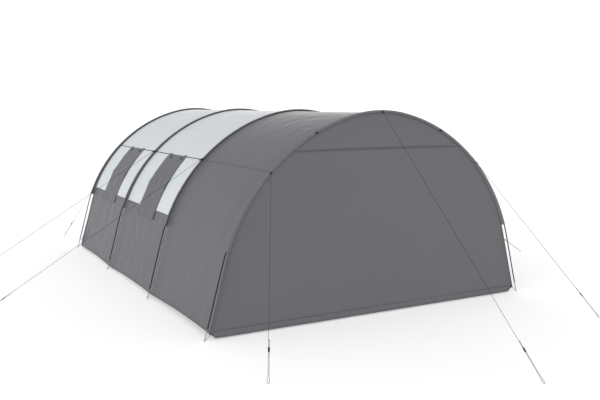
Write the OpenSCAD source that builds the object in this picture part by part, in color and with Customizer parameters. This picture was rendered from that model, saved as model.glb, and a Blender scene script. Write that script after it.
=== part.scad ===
// Tunnel tent on four bent hoop poles, with three bays, a closed front gable,
// a zipped two-flap door in the rear gable, four curtained windows and ten guy ropes.
// Millimetres. +X to the right, +Y from the front gable to the rear gable, +Z up.
// The origin is on the ground, under the middle of the tent.

/* [Hoops] */
// Half the width between the two feet of a hoop
half_width = 1950; // [1700:10:2200]
// Radius of the crown arc at the top of a hoop
crown_radius = 1380; // [1200:10:1600]
// Angle from vertical where the crown arc meets the side arc
crown_angle = 12.7; // [8:0.1:18]
// Radius of the side arcs
side_radius = 1965; // [1800:5:2000]
// Angle from vertical where a side arc meets its straight leg
leg_angle = 74.9; // [72:0.1:77]
// Length of one bay, from hoop to hoop
bay_length = 1740; // [1500:10:2000]

/* [Poles] */
// Outside diameter of the pole tube
pole_d = 12.7; // [11:0.1:15]
// Wall thickness of the pole tube
pole_wall = 1.75; // [1.5:0.05:2]
// Height at which the tube ends and the metal tip begins
tip_height = 115; // [80:5:150]

/* [Fabric] */
// Thickness of every fabric panel
fabric_t = 1; // [0.5:0.5:2]
// Distance from the pole's centre line in to the outside of the fabric, at the crown
crown_gap = 16; // [14:1:24]
// Distance from the pole's centre line in to the outside of the fabric, at the legs
pole_gap = 40; // [32:1:50]
// Height of the fabric's lower hem above the ground
hem_height = 30; // [25:1:40]
// Angle from vertical of the seam that runs along all three bays
seam_angle = 44.5; // [42:0.5:48]
// Angle from vertical where the roof panel ends and the wall panel begins
wall_angle = 66.8; // [64:0.1:68]
// Angle from vertical where the pole sleeves end
sleeve_angle = 70.3; // [69:0.1:72]
// Distance of each gable wall inside its hoop
gable_inset = 20; // [15:1:30]

/* [Windows] */
// Width of a window opening, along the tent
window_w = 480; // [400:10:520]
// Width of a curtain, along the tent
curtain_w = 620; // [560:10:700]
// Length of a curtain, down from the seam
curtain_l = 880; // [800:10:900]

/* [Door] */
// Half the width of the doorway
door_half_w = 600; // [500:10:700]
// Height of the doorway's top edge
door_top = 1740; // [1600:10:1750]
// Height of the doorway's sill
door_sill = 70; // [60:5:90]

/* [Guy ropes] */
// Diameter of a guy rope
rope_d = 3.5; // [3:0.1:4]
// How far in front of its hoop an apex rope reaches the ground
apex_reach = 2260; // [2000:10:2500]
// Distance from the centre line at which a corner rope reaches the ground
corner_x = 1900; // [1700:10:2200]
// How far beyond its hoop a corner rope reaches the ground
corner_reach = 1215; // [1000:5:1500]
// Distance from the centre line at which a side rope reaches the ground
side_x = 3780; // [3400:10:4000]
// Angle from vertical of the guy points on the hoops
guy_angle = 45; // [43:0.5:47]
// Angle from vertical of the storm loops on the two end hoops
tie_angle = 27.1; // [20:0.1:35]

/* [Hidden] */
$fn = 48;
// Facets of a full turn on the big arcs, and on the small profiles swept along them.
arc_fn = 720;
profile_fn = 32;

// Hoop outline: crown arc, side arc and straight leg, tangent to each other.
crown_len = crown_radius * crown_angle * PI / 180;
side_len = side_radius * (leg_angle - crown_angle) * PI / 180;
leg_top_x = crown_radius * sin(crown_angle)
    + side_radius * (sin(leg_angle) - sin(crown_angle));
leg_len = (half_width - leg_top_x) / cos(leg_angle);
hoop_height = leg_len * sin(leg_angle)
    + crown_radius * (1 - cos(crown_angle))
    + side_radius * (cos(crown_angle) - cos(leg_angle));
hoop_len = crown_len + side_len + leg_len;
crown_centre = [0, hoop_height - crown_radius];
side_centre = crown_centre
    + (crown_radius - side_radius) * [sin(crown_angle), cos(crown_angle)];

// Stations of the four hoops along the tent.
tent_length = 3 * bay_length;
hoop_y = [for (i = [0:3]) i * bay_length - tent_length / 2];

// The fabric hugs the poles at the crown and falls away from them towards the legs.
gap_turn = cos(leg_angle - crown_angle);
side_gap = (pole_gap - crown_gap * gap_turn) / (1 - gap_turn);
cloth_in = -fabric_t;
clear = 0.3;
// Angle of the hairline between two lengths that meet end to end on an arc.
gap_angle = 0.02;
leg_start = crown_len + side_len + clear;
pole_r = pole_d / 2;
bore_r = pole_r - pole_wall;
tip_len = tip_height / sin(leg_angle);
tube_end = hoop_len - tip_len;
sections_per_side = 3;
spigot_r = 3.65;
spigot_bore_r = 2.75;
spigot_len = 100;
elastic_r = 1.7;
pin_r = 4;
ball_r = 5;
plug_len = 30;

// Sleeve: a fabric channel round the pole, on a fin that stands on the roof.
sleeve_out_r = 9.5;
sleeve_in_r = 8;
fin_half_w = 3;
fin_clear = 1.2;

// Distances along the hoop, measured from its top.
seam_s = hoop_s(seam_angle);
wall_s = hoop_s(wall_angle);
sleeve_s = hoop_s(sleeve_angle);
guy_s = hoop_s(guy_angle);
hem_s = hoop_len - (hem_height + pole_gap * cos(leg_angle)) / sin(leg_angle);
window_top_s = seam_s + 60;
window_bottom_s = wall_s - 60;
step_len = 95;

// Curtains hang just outside the fabric, from a stitched hinge at the seam.
curtain_out = 6;
curtain_in = curtain_out - fabric_t;
curtain_s = seam_s + 6;
toggle_r = 5;
toggle_len = 36;
toggle_drop = 37;
toggle_y = [-190, 185];

// Gables.
gable_y = tent_length / 2 - gable_inset;
flap_gap = 4;
flap_depth = 38;
zip_w = 12;
zip_t = 1.5;

// Feet.
link_z = 15;
link_t = 3;
link_r = 11;
peg_hole_r = 6;
peg_offset = 25;
strap_w = 16;
strap_t = 1.5;

// Guy gear. A rope runs from its ring, through the slider, round the peg's place
// and back through the slider to a stopper knot.
ring_r = 6;
wire_r = 2.4;
// A guy's line starts this far out from the pole. Its tab starts on the sleeve, so how far
// along the line depends on the direction of the rope.
anchor_off = 14.5;
tab_start_apex = -5;
tab_start_corner = 1.5;
tab_start_side = -14;
tab_len = 12;
tab_w = 18;
tab_t = 3;
// Storm loops of flat webbing on the outside of the end sleeves.
tie_r = 3.2;
tie_t = 1.4;
tie_len = 24;
tie_w = 20;
tie_off = -5;
rope_start = tab_len + 2 * ring_r + 8;
rope_end_z = 4;
strand_gap = 8;
knot_r = 5;
slider_len = 40;
slider_r = 4.6;
slider_bore_r = 2.3;
tail_len = 75;
// Loop at the peg: [sideways, back from the rope's end].
peg_loop = [
    [0, 60], [-2, 45], [-5, 30], [-6, 18], [-4, 7], [0, 2], [4, 0],
    [8, 2], [12, 7], [14, 18], [13, 30], [10, 45], [8, 60]
];
rope_sides = 8;

// Each guy: [side, hoop, ground x, ground y beyond the hoop, slider's share of the length].
front_apex = [0, 0, 0, -apex_reach, 0.9];
front_left = [-1, 0, -corner_x, -corner_reach, 0.86];
front_right = [1, 0, corner_x, -corner_reach, 0.86];
second_left = [-1, 1, -side_x, 0, 0.87];
second_right = [1, 1, side_x, 0, 0.87];
third_left = [-1, 2, -side_x, 0, 0.87];
third_right = [1, 2, side_x, 0, 0.87];
rear_left = [-1, 3, -corner_x, corner_reach, 0.86];
rear_right = [1, 3, corner_x, corner_reach, 0.86];
rear_apex = [0, 3, 0, apex_reach, 0.9];
GUYS = [
    front_apex, front_left, front_right, second_left, second_right,
    third_left, third_right, rear_left, rear_right, rear_apex
];

dark = [0.43, 0.43, 0.45];
light = [0.83, 0.85, 0.86];
trim = [0.35, 0.35, 0.36];
black = [0.12, 0.12, 0.13];
metal = [0.7, 0.7, 0.72];
rope_grey = [0.6, 0.6, 0.61];
clear_mesh = [0.6, 0.62, 0.64];

// Distance along the hoop, from its top, of the point at an angle from vertical.
function hoop_s(angle) = crown_len + side_radius * (angle - crown_angle) * PI / 180;

// Angle from vertical of the point at distance s from the top of the hoop.
function hoop_angle(s) =
    s <= crown_len ? s / crown_radius * 180 / PI
    : min(leg_angle, crown_angle + (s - crown_len) / side_radius * 180 / PI);

// Point [x, z] at signed distance s along the hoop (minus is the left side),
// moved out from the pole's centre line by off.
function hoop_pt(s, off) =
    let (a = abs(s), d = s < 0 ? -1 : 1, t = hoop_angle(a), n = [sin(t), cos(t)])
    let (p = a <= crown_len ? crown_centre + (crown_radius + off) * n
        : side_centre + (side_radius + off) * n
            + max(0, a - crown_len - side_len) * [cos(t), -sin(t)])
    [d * p.x, p.y];

// Distance from the pole's centre line in to the fabric, at an angle from vertical.
function gap_at(t) =
    t <= crown_angle ? crown_gap : side_gap - (side_gap - crown_gap) * cos(t - crown_angle);

// Point [x, z] at signed distance s along the hoop, moved out from the fabric by off.
function cloth_pt(s, off) = hoop_pt(s, off - gap_at(hoop_angle(abs(s))));

// Outline of a band of fabric from distance s0 to distance s1 along the hoop.
function band(s0, s1, out, in) =
    let (n = ceil((s1 - s0) / step_len))
    concat(
        [for (i = [0:n]) cloth_pt(s0 + (s1 - s0) * i / n, out)],
        [for (i = [n:-1:0]) cloth_pt(s0 + (s1 - s0) * i / n, in)]
    );

// Where a guy starts, outside its sleeve: on the far side of an end hoop from the cabin,
// and on the outside of a middle hoop.
function guy_anchor(g) =
    let (end = g[1] == 0 ? -1 : g[1] == 3 ? 1 : 0)
    let (p = hoop_pt(g[0] * guy_s, end == 0 ? anchor_off : 0))
    [p.x, hoop_y[g[1]] + end * anchor_off, p.y];
function tab_start(g) =
    g[0] == 0 ? tab_start_apex : g[1] == 0 || g[1] == 3 ? tab_start_corner : tab_start_side;
function guy_ground(g) = [g[2], hoop_y[g[1]] + g[3], rope_end_z];
function guy_dir(g) = unit(guy_ground(g) - guy_anchor(g));
function guy_len(g) = norm(guy_ground(g) - guy_anchor(g)) - rope_start;
function unit(v) = v / norm(v);

// Route of a guy rope in its own plane: [sideways, along].
function guy_route(g) =
    let (l = guy_len(g))
    concat(
        [[0, 0]],
        [for (p = peg_loop) [p.x, l - p.y]],
        [[strand_gap, g[4] * l - tail_len]]
    );

// Direction of the route at point i.
function route_dir(p, i) = unit(p[min(i + 1, len(p) - 1)] - p[max(i - 1, 0)]);

// A panel of fabric from y0 to y1.
module panel(s0, s1, y0, y1, out = 0, in = cloth_in) {
    translate([0, y1, 0])
        rotate([90, 0, 0])
            linear_extrude(y1 - y0)
                polygon(band(s0, s1, out, in));
}

// Sweeps a 2D profile (x outwards, y along the tent) over an arc of the hoop.
module hoop_arc(centre, radius, from, to) {
    translate([centre.x, 0, centre.y])
        rotate([90, 0, 0])
            rotate([0, 0, 90 - to])
                rotate_extrude(angle = to - from, $fn = arc_fn)
                    translate([radius, 0])
                        children();
}

// Places children with +Z pointing down the right leg, at distance s along the hoop.
module on_leg(s) {
    p = hoop_pt(s, 0);
    translate([p.x, 0, p.y])
        rotate([0, 180 - (90 - leg_angle), 0])
            children();
}

module both_sides() {
    children();
    mirror([1, 0, 0])
        children();
}

module tube_profile() {
    difference() {
        circle(pole_r, $fn = profile_fn);
        circle(bore_r, $fn = profile_fn);
    }
}

// One hoop of tube sections that meet end to end.
module hoop_pole(y) {
    section = (leg_angle - crown_angle) / sections_per_side;
    color("dimgray")
        translate([0, y, 0]) {
            hoop_arc(crown_centre, crown_radius, -crown_angle, crown_angle)
                tube_profile();
            both_sides() {
                for (i = [0:sections_per_side - 1])
                    hoop_arc(side_centre, side_radius,
                        crown_angle + i * section + gap_angle, crown_angle + (i + 1) * section)
                        tube_profile();
                on_leg(leg_start)
                    linear_extrude(tube_end - leg_start)
                        tube_profile();
            }
        }
}

module front_hoop_pole() {
    hoop_pole(hoop_y[0]);
}

module second_hoop_pole() {
    hoop_pole(hoop_y[1]);
}

module third_hoop_pole() {
    hoop_pole(hoop_y[2]);
}

module rear_hoop_pole() {
    hoop_pole(hoop_y[3]);
}

// Hidden joining tubes, one inside every meeting of two pole sections.
module pole_spigots() {
    section = (leg_angle - crown_angle) / sections_per_side;
    color(metal)
        for (y = hoop_y)
            translate([0, y, 0])
                both_sides()
                    for (i = [0:sections_per_side]) {
                        angle = crown_angle + i * section;
                        p = hoop_pt(hoop_s(angle), 0);
                        translate([p.x, 0, p.y])
                            rotate([0, 90 + angle, 0])
                                difference() {
                                    cylinder(r = spigot_r, h = spigot_len, center = true);
                                    cylinder(r = spigot_bore_r, h = spigot_len + 2, center = true);
                                }
                    }
}

// Metal pin at every foot, plugged into the tube and rounded where it meets the ground.
module pole_end_tips() {
    pin_len = tip_len - ball_r / sin(leg_angle);
    color(metal)
        for (y = hoop_y)
            translate([0, y, 0])
                both_sides()
                    on_leg(tube_end) {
                        translate([0, 0, -plug_len])
                            cylinder(r = bore_r - 0.2, h = plug_len + clear);
                        translate([0, 0, 0.1])
                            cylinder(r = pole_r, h = 3);
                        cylinder(r = pin_r, h = pin_len);
                        translate([0, 0, pin_len])
                            sphere(ball_r);
                    }
}

// Elastic cord that holds the sections of each pole together.
module shock_cords() {
    color("white")
        for (y = hoop_y)
            translate([0, y, 0]) {
                hoop_arc(crown_centre, crown_radius, -crown_angle, crown_angle)
                    circle(elastic_r, $fn = profile_fn);
                both_sides() {
                    hoop_arc(side_centre, side_radius, crown_angle + gap_angle, leg_angle)
                        circle(elastic_r, $fn = profile_fn);
                    on_leg(leg_start)
                        cylinder(r = elastic_r, h = tube_end - plug_len - 1 - leg_start,
                            $fn = profile_fn);
                }
            }
}

module sleeve_profile() {
    difference() {
        circle(sleeve_out_r, $fn = profile_fn);
        circle(sleeve_in_r, $fn = profile_fn);
    }
}

// Outline of a sleeve's fin, from its channel down to the roof.
function fin_outline() =
    let (n = ceil(2 * sleeve_s / step_len), step = 2 * sleeve_s / n)
    concat(
        [for (i = [0:n]) hoop_pt(i * step - sleeve_s, -sleeve_out_r - clear)],
        [for (i = [n:-1:0]) cloth_pt(i * step - sleeve_s, fin_clear)]
    );

module pole_sleeve(y) {
    color(trim)
        translate([0, y, 0]) {
            hoop_arc(crown_centre, crown_radius, -crown_angle, crown_angle)
                sleeve_profile();
            both_sides()
                hoop_arc(side_centre, side_radius, crown_angle + gap_angle, sleeve_angle)
                    sleeve_profile();
            translate([0, fin_half_w, 0])
                rotate([90, 0, 0])
                    linear_extrude(2 * fin_half_w)
                        polygon(fin_outline());
        }
}

module front_pole_sleeve() {
    pole_sleeve(hoop_y[0]);
}

module second_pole_sleeve() {
    pole_sleeve(hoop_y[1]);
}

module third_pole_sleeve() {
    pole_sleeve(hoop_y[2]);
}

module rear_pole_sleeve() {
    pole_sleeve(hoop_y[3]);
}

// Roof panel of a bay, over the top from side to side.
module bay_roof(bay, edge_s) {
    panel(clear - edge_s, edge_s - clear, hoop_y[bay] + 1, hoop_y[bay + 1] - 1);
}

// Wall panel on the right side of a bay.
module bay_wall(bay, edge_s) {
    panel(edge_s, hem_s, hoop_y[bay] + 1, hoop_y[bay + 1] - 1);
}

function bay_middle(bay) = (hoop_y[bay] + hoop_y[bay + 1]) / 2;

// Roof of a bay that has a window in each side.
module window_roof(bay) {
    y = bay_middle(bay);
    difference() {
        bay_roof(bay, wall_s);
        both_sides()
            panel(window_top_s, window_bottom_s, y - window_w / 2, y + window_w / 2,
                20, -20);
    }
}

module front_bay_roof() {
    color(dark)
        bay_roof(0, seam_s);
}

module front_bay_wall_right() {
    color(dark)
        bay_wall(0, seam_s);
}

module front_bay_wall_left() {
    mirror([1, 0, 0])
        front_bay_wall_right();
}

module middle_bay_roof() {
    color(light)
        window_roof(1);
}

module middle_bay_wall_right() {
    color(dark)
        bay_wall(1, wall_s);
}

module middle_bay_wall_left() {
    mirror([1, 0, 0])
        middle_bay_wall_right();
}

module rear_bay_roof() {
    color(light)
        window_roof(2);
}

module rear_bay_wall_right() {
    color(dark)
        bay_wall(2, wall_s);
}

module rear_bay_wall_left() {
    mirror([1, 0, 0])
        rear_bay_wall_right();
}

// Full gable outline inside the roof and walls, down to the height of the mud flap.
module gable_outline() {
    n = ceil(hem_s / step_len);
    difference() {
        polygon([for (i = [-n:n]) cloth_pt(hem_s * i / n, cloth_in - clear)]);
        translate([-half_width, 0])
            square([2 * half_width, flap_depth + hem_height / 2]);
    }
}

// A gable wall whose outer face is at y, on the side that dir points to.
module end_wall(y, dir) {
    translate([0, dir > 0 ? y : y + fabric_t, 0])
        rotate([90, 0, 0])
            linear_extrude(fabric_t)
                children();
}

module front_end_wall() {
    color(dark)
        end_wall(-gable_y, -1)
            gable_outline();
}

module rear_end_wall() {
    color(dark)
        end_wall(gable_y, 1)
            difference() {
                gable_outline();
                translate([-door_half_w, door_sill])
                    square([2 * door_half_w, door_top - door_sill]);
            }
}

// Flap of fabric along the foot of each gable, below the wall.
module mud_flap_outline() {
    foot = cloth_pt(hoop_len, cloth_in);
    top = flap_depth + hem_height / 2 - clear;
    top_x = foot.x - (top - foot.y) / tan(leg_angle) - 1;
    low_x = foot.x - 62;
    polygon([[-top_x, top], [-low_x, 12], [low_x, 12], [top_x, top]]);
}

module mud_flaps() {
    color(dark) {
        end_wall(-gable_y, -1)
            mud_flap_outline();
        end_wall(gable_y, 1)
            mud_flap_outline();
    }
}

// Two door flaps that hang from their outer edges and zip together in the middle.
module door_flap_right() {
    color(dark)
        end_wall(gable_y, 1)
            translate([flap_gap / 2, door_sill + flap_gap])
                square([door_half_w - 1.5 * flap_gap, door_top - door_sill - 2 * flap_gap]);
}

module door_flap_left() {
    mirror([1, 0, 0])
        door_flap_right();
}

// Coil tape along the free edge of a door flap.
module zip_tape_right() {
    color(black)
        translate([flap_gap / 2, gable_y + clear, door_sill + flap_gap])
            cube([zip_w, zip_t, door_top - door_sill - 2 * flap_gap]);
}

module zip_tape_left() {
    mirror([1, 0, 0])
        zip_tape_right();
}

// Zip slider with its pull tab, at the foot of the zip, where the door is closed.
module zip_slider() {
    face = gable_y + clear + zip_t + clear;
    low = door_sill + 20;
    color(metal) {
        translate([flap_gap / 2, face, low])
            cube([zip_w, 4, 16]);
        translate([flap_gap / 2 + zip_w / 2 - 2, face + 4, low + 6])
            cube([4, 2, 6]);
        translate([flap_gap / 2 + zip_w / 2 - 3, face + 6, low - 22])
            cube([6, 1.5, 34]);
    }
}

// Clear panes behind the window openings.
module window_panes() {
    hem = 15;
    out = cloth_in - 1.5;
    color(clear_mesh)
        for (bay = [1, 2])
            both_sides()
                panel(window_top_s - hem, window_bottom_s + hem,
                    bay_middle(bay) - window_w / 2 - hem, bay_middle(bay) + window_w / 2 + hem,
                    out, out - 1);
}

module curtain_right(bay) {
    y = bay_middle(bay);
    color(dark)
        panel(curtain_s, curtain_s + curtain_l, y - curtain_w / 2, y + curtain_w / 2,
            curtain_out, curtain_in);
}

module curtain_middle_right() {
    curtain_right(1);
}

module curtain_middle_left() {
    mirror([1, 0, 0])
        curtain_right(1);
}

module curtain_rear_right() {
    curtain_right(2);
}

module curtain_rear_left() {
    mirror([1, 0, 0])
        curtain_right(2);
}

// Two toggles near the top edge of a curtain, for tying it up when it is rolled.
module toggles_right(bay) {
    s = curtain_s + toggle_drop;
    p = cloth_pt(s, curtain_out + toggle_r + clear);
    color(black)
        for (y = toggle_y)
            translate([p.x, bay_middle(bay) + y, p.y])
                rotate([0, 90 + hoop_angle(s), 0])
                    cylinder(r = toggle_r, h = toggle_len, center = true);
}

module toggles_middle_right() {
    toggles_right(1);
}

module toggles_middle_left() {
    mirror([1, 0, 0])
        toggles_right(1);
}

module toggles_rear_right() {
    toggles_right(2);
}

module toggles_rear_left() {
    mirror([1, 0, 0])
        toggles_right(2);
}

// Places children at the start of a guy, with +Z along its rope.
module along_guy(g) {
    d = guy_dir(g);
    translate(guy_anchor(g))
        rotate([0, acos(d.z), atan2(d.y, d.x)])
            children();
}

module tie_block(r, w) {
    x = tie_len / 2 - tie_r;
    for (d = [-1, 1])
        translate([d * x, 0, -w / 2])
            cylinder(r = r, h = w);
    translate([-x, -r, -w / 2])
        cube([2 * x, 2 * r, w]);
}

// Webbing tab and ring at the start of every guy, and a storm loop on each side of both
// end hoops.
module guy_points() {
    color(black) {
        for (d = [-1, 1])
            translate([0, d * (hoop_y[3] + sleeve_out_r + clear + tie_r), 0])
                both_sides() {
                    p = hoop_pt(hoop_s(tie_angle), tie_off);
                    translate([p.x, 0, p.y])
                        rotate([0, 90 + tie_angle, 0])
                            difference() {
                                tie_block(tie_r, tie_w);
                                tie_block(tie_r - tie_t, tie_w + 2);
                            }
                }
        for (g = GUYS)
            along_guy(g) {
                difference() {
                    translate([-tab_t / 2, -tab_w / 2, tab_start(g)])
                        cube([tab_t, tab_w, tab_len + wire_r + 5 - tab_start(g)]);
                    translate([0, 0, tab_len + wire_r])
                        rotate([0, 90, 0])
                            cylinder(r = wire_r + 0.8, h = tab_t + 2, center = true);
                }
                translate([0, 0, tab_len + wire_r + ring_r])
                    rotate([90, 0, 0])
                        rotate_extrude()
                            translate([ring_r, 0])
                                circle(wire_r, $fn = 24);
            }
    }
}

// Webbing from the foot of every pole in under the wall.
module foot_straps() {
    x_out = half_width - link_r - 5;
    x_in = cloth_pt(hoop_len, cloth_in).x - 15;
    color(trim)
        for (y = hoop_y)
            both_sides()
                translate([x_in, y - strap_w / 2, link_z + 1])
                    cube([x_out - x_in, strap_w, strap_t]);
}

// Flat links that the pole pins stand in, each with a hole for a ground peg beside the pin,
// clear of the guy rope overhead.
module foot_links() {
    mid_z = link_z + link_t / 2;
    pin_x = half_width - mid_z / tan(leg_angle);
    color(metal)
        for (y = hoop_y)
            both_sides()
                translate([pin_x, y, link_z])
                    difference() {
                        union() {
                            cylinder(r = link_r, h = link_t);
                            translate([-link_r, 0, 0])
                                cube([2 * link_r, peg_offset, link_t]);
                            translate([0, peg_offset, 0])
                                cylinder(r = link_r, h = link_t);
                        }
                        translate([0, 0, -1])
                            cylinder(r = pin_r + 1.6, h = link_t + 2);
                        translate([0, peg_offset, -1])
                            cylinder(r = peg_hole_r, h = link_t + 2);
                    }
}

// A rope swept along its route, with its stopper knot at the far end.
module guy_rope(g) {
    route = guy_route(g);
    count = len(route);
    r = rope_d / 2;
    rings = [for (i = [0:count - 1])
        let (t = route_dir(route, i), n = [-t.y, t.x])
        for (k = [0:rope_sides - 1])
            let (a = 360 * k / rope_sides)
            [r * sin(a), route[i].x + r * cos(a) * n.x, route[i].y + r * cos(a) * n.y]];
    sides = [for (i = [0:count - 2]) for (k = [0:rope_sides - 1])
        let (a = i * rope_sides + k, b = i * rope_sides + (k + 1) % rope_sides)
        [a, a + rope_sides, b + rope_sides, b]];
    first_cap = [for (k = [0:rope_sides - 1]) k];
    last_cap = [for (k = [rope_sides - 1:-1:0]) (count - 1) * rope_sides + k];
    color(rope_grey)
        along_guy(g)
            translate([0, 0, rope_start]) {
                polyhedron(rings, concat(sides, [first_cap, last_cap]));
                translate([0, strand_gap, route[count - 1].y - knot_r - clear])
                    sphere(knot_r, $fn = 24);
            }
}

module guy_rope_front_apex() {
    guy_rope(front_apex);
}

module guy_rope_front_left() {
    guy_rope(front_left);
}

module guy_rope_front_right() {
    guy_rope(front_right);
}

module guy_rope_second_left() {
    guy_rope(second_left);
}

module guy_rope_second_right() {
    guy_rope(second_right);
}

module guy_rope_third_left() {
    guy_rope(third_left);
}

module guy_rope_third_right() {
    guy_rope(third_right);
}

module guy_rope_rear_left() {
    guy_rope(rear_left);
}

module guy_rope_rear_right() {
    guy_rope(rear_right);
}

module guy_rope_rear_apex() {
    guy_rope(rear_apex);
}

// Tension slider: a flat barrel with a bore for each strand of the rope.
module guy_slider(g) {
    color(black)
        along_guy(g)
            translate([0, 0, rope_start + g[4] * guy_len(g)])
                difference() {
                    union() {
                        for (y = [0, strand_gap])
                            translate([0, y, 0])
                                cylinder(r = slider_r, h = slider_len, center = true);
                        translate([-slider_r, 0, -slider_len / 2])
                            cube([2 * slider_r, strand_gap, slider_len]);
                    }
                    for (y = [0, strand_gap])
                        translate([0, y, 0])
                            cylinder(r = slider_bore_r, h = slider_len + 2, center = true);
                }
}

module guy_slider_front_apex() {
    guy_slider(front_apex);
}

module guy_slider_front_left() {
    guy_slider(front_left);
}

module guy_slider_front_right() {
    guy_slider(front_right);
}

module guy_slider_second_left() {
    guy_slider(second_left);
}

module guy_slider_second_right() {
    guy_slider(second_right);
}

module guy_slider_third_left() {
    guy_slider(third_left);
}

module guy_slider_third_right() {
    guy_slider(third_right);
}

module guy_slider_rear_left() {
    guy_slider(rear_left);
}

module guy_slider_rear_right() {
    guy_slider(rear_right);
}

module guy_slider_rear_apex() {
    guy_slider(rear_apex);
}

front_hoop_pole();
second_hoop_pole();
third_hoop_pole();
rear_hoop_pole();
pole_spigots();
pole_end_tips();
shock_cords();
front_pole_sleeve();
second_pole_sleeve();
third_pole_sleeve();
rear_pole_sleeve();
front_bay_roof();
front_bay_wall_left();
front_bay_wall_right();
middle_bay_roof();
middle_bay_wall_left();
middle_bay_wall_right();
rear_bay_roof();
rear_bay_wall_left();
rear_bay_wall_right();
front_end_wall();
rear_end_wall();
mud_flaps();
door_flap_left();
door_flap_right();
zip_tape_left();
zip_tape_right();
zip_slider();
window_panes();
curtain_middle_left();
curtain_middle_right();
curtain_rear_left();
curtain_rear_right();
toggles_middle_left();
toggles_middle_right();
toggles_rear_left();
toggles_rear_right();
guy_points();
foot_straps();
foot_links();
guy_rope_front_apex();
guy_rope_front_left();
guy_rope_front_right();
guy_rope_second_left();
guy_rope_second_right();
guy_rope_third_left();
guy_rope_third_right();
guy_rope_rear_left();
guy_rope_rear_right();
guy_rope_rear_apex();
guy_slider_front_apex();
guy_slider_front_left();
guy_slider_front_right();
guy_slider_second_left();
guy_slider_second_right();
guy_slider_third_left();
guy_slider_third_right();
guy_slider_rear_left();
guy_slider_rear_right();
guy_slider_rear_apex();
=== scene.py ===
import math

import bpy
from mathutils import Euler, Matrix, Vector, noise


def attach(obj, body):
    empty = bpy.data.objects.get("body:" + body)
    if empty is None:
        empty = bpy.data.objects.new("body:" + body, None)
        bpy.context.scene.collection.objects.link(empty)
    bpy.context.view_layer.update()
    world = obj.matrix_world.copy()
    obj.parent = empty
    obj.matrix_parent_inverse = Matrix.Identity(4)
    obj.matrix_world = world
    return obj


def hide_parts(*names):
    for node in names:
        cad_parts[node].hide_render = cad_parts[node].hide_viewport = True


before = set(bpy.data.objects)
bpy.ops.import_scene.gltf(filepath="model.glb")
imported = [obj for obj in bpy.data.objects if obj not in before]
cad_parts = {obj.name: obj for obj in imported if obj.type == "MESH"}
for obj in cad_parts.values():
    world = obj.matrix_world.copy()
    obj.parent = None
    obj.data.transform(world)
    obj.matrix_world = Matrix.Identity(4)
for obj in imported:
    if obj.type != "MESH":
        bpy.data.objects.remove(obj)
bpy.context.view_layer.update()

# ---------------------------------------------------------------- dimensions, in metres
HALF_WIDTH = 1.950
CROWN_RADIUS = 1.380
CROWN_ANGLE = math.radians(12.7)
SIDE_RADIUS = 1.965
LEG_ANGLE = math.radians(74.9)
BAY = 1.740
CROWN_GAP = 0.016
POLE_GAP = 0.040
SLEEVE_R = 0.0095

CROWN_LEN = CROWN_RADIUS * CROWN_ANGLE
SIDE_LEN = SIDE_RADIUS * (LEG_ANGLE - CROWN_ANGLE)
LEG_TOP_X = CROWN_RADIUS * math.sin(CROWN_ANGLE) + SIDE_RADIUS * (
    math.sin(LEG_ANGLE) - math.sin(CROWN_ANGLE)
)
LEG_LEN = (HALF_WIDTH - LEG_TOP_X) / math.cos(LEG_ANGLE)
HOOP_LEN = CROWN_LEN + SIDE_LEN + LEG_LEN
HOOP_HEIGHT = (
    LEG_LEN * math.sin(LEG_ANGLE)
    + CROWN_RADIUS * (1 - math.cos(CROWN_ANGLE))
    + SIDE_RADIUS * (math.cos(CROWN_ANGLE) - math.cos(LEG_ANGLE))
)
CROWN_CENTRE = Vector((0, HOOP_HEIGHT - CROWN_RADIUS))
SIDE_CENTRE = CROWN_CENTRE + (CROWN_RADIUS - SIDE_RADIUS) * Vector(
    (math.sin(CROWN_ANGLE), math.cos(CROWN_ANGLE))
)
HOOP_Y = [(i - 1.5) * BAY for i in range(4)]
HOOPS = ["front", "second", "third", "rear"]
BAYS = ["front", "middle", "rear"]
SIDES = ((-1, "left"), (1, "right"))


def hoop_s(degrees):
    """Distance along the hoop from its top to the point at an angle from vertical."""
    return CROWN_LEN + SIDE_RADIUS * (math.radians(degrees) - CROWN_ANGLE)


GAP_TURN = math.cos(LEG_ANGLE - CROWN_ANGLE)
SIDE_GAP = (POLE_GAP - CROWN_GAP * GAP_TURN) / (1 - GAP_TURN)

SEAM_S = hoop_s(44.5)
WALL_S = hoop_s(66.8)
SLEEVE_S = hoop_s(70.3)
GUY_S = hoop_s(45)
WINDOW_TOP = SEAM_S + 0.060
WINDOW_BOTTOM = WALL_S - 0.060
WINDOW_W = 0.480
CURTAIN_W = 0.620
CURTAIN_L = 0.880
GABLE_Y = 1.5 * BAY - 0.020
DOOR_HALF_W = 0.600
DOOR_TOP = 1.740
DOOR_SILL = 0.070
GABLE_SEAM_Z = 1.732
FLAP_TOP = 0.080
TOGGLE_DROP = 0.037
TOGGLE_Y = (-0.190, 0.185)
PATCH_U = 0.022  # half a toggle's patch, as a share of the curtain's width
PATCH_V = 0.016  # and of its length
CLOTH_T = 0.0008
TAPE_T = 0.0012


def hoop_angle(s):
    if s <= CROWN_LEN:
        return s / CROWN_RADIUS
    return min(LEG_ANGLE, CROWN_ANGLE + (s - CROWN_LEN) / SIDE_RADIUS)


def hoop_point(s, off):
    """(x, z) at signed distance s from the hoop's top, moved out from the pole's line by off."""
    a = abs(s)
    side = -1 if s < 0 else 1
    t = hoop_angle(a)
    n = Vector((math.sin(t), math.cos(t)))
    if a <= CROWN_LEN:
        p = CROWN_CENTRE + (CROWN_RADIUS + off) * n
    else:
        beyond = max(0.0, a - CROWN_LEN - SIDE_LEN)
        p = SIDE_CENTRE + (SIDE_RADIUS + off) * n
        p += beyond * Vector((math.cos(t), -math.sin(t)))
    return side * p.x, p.y


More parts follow.
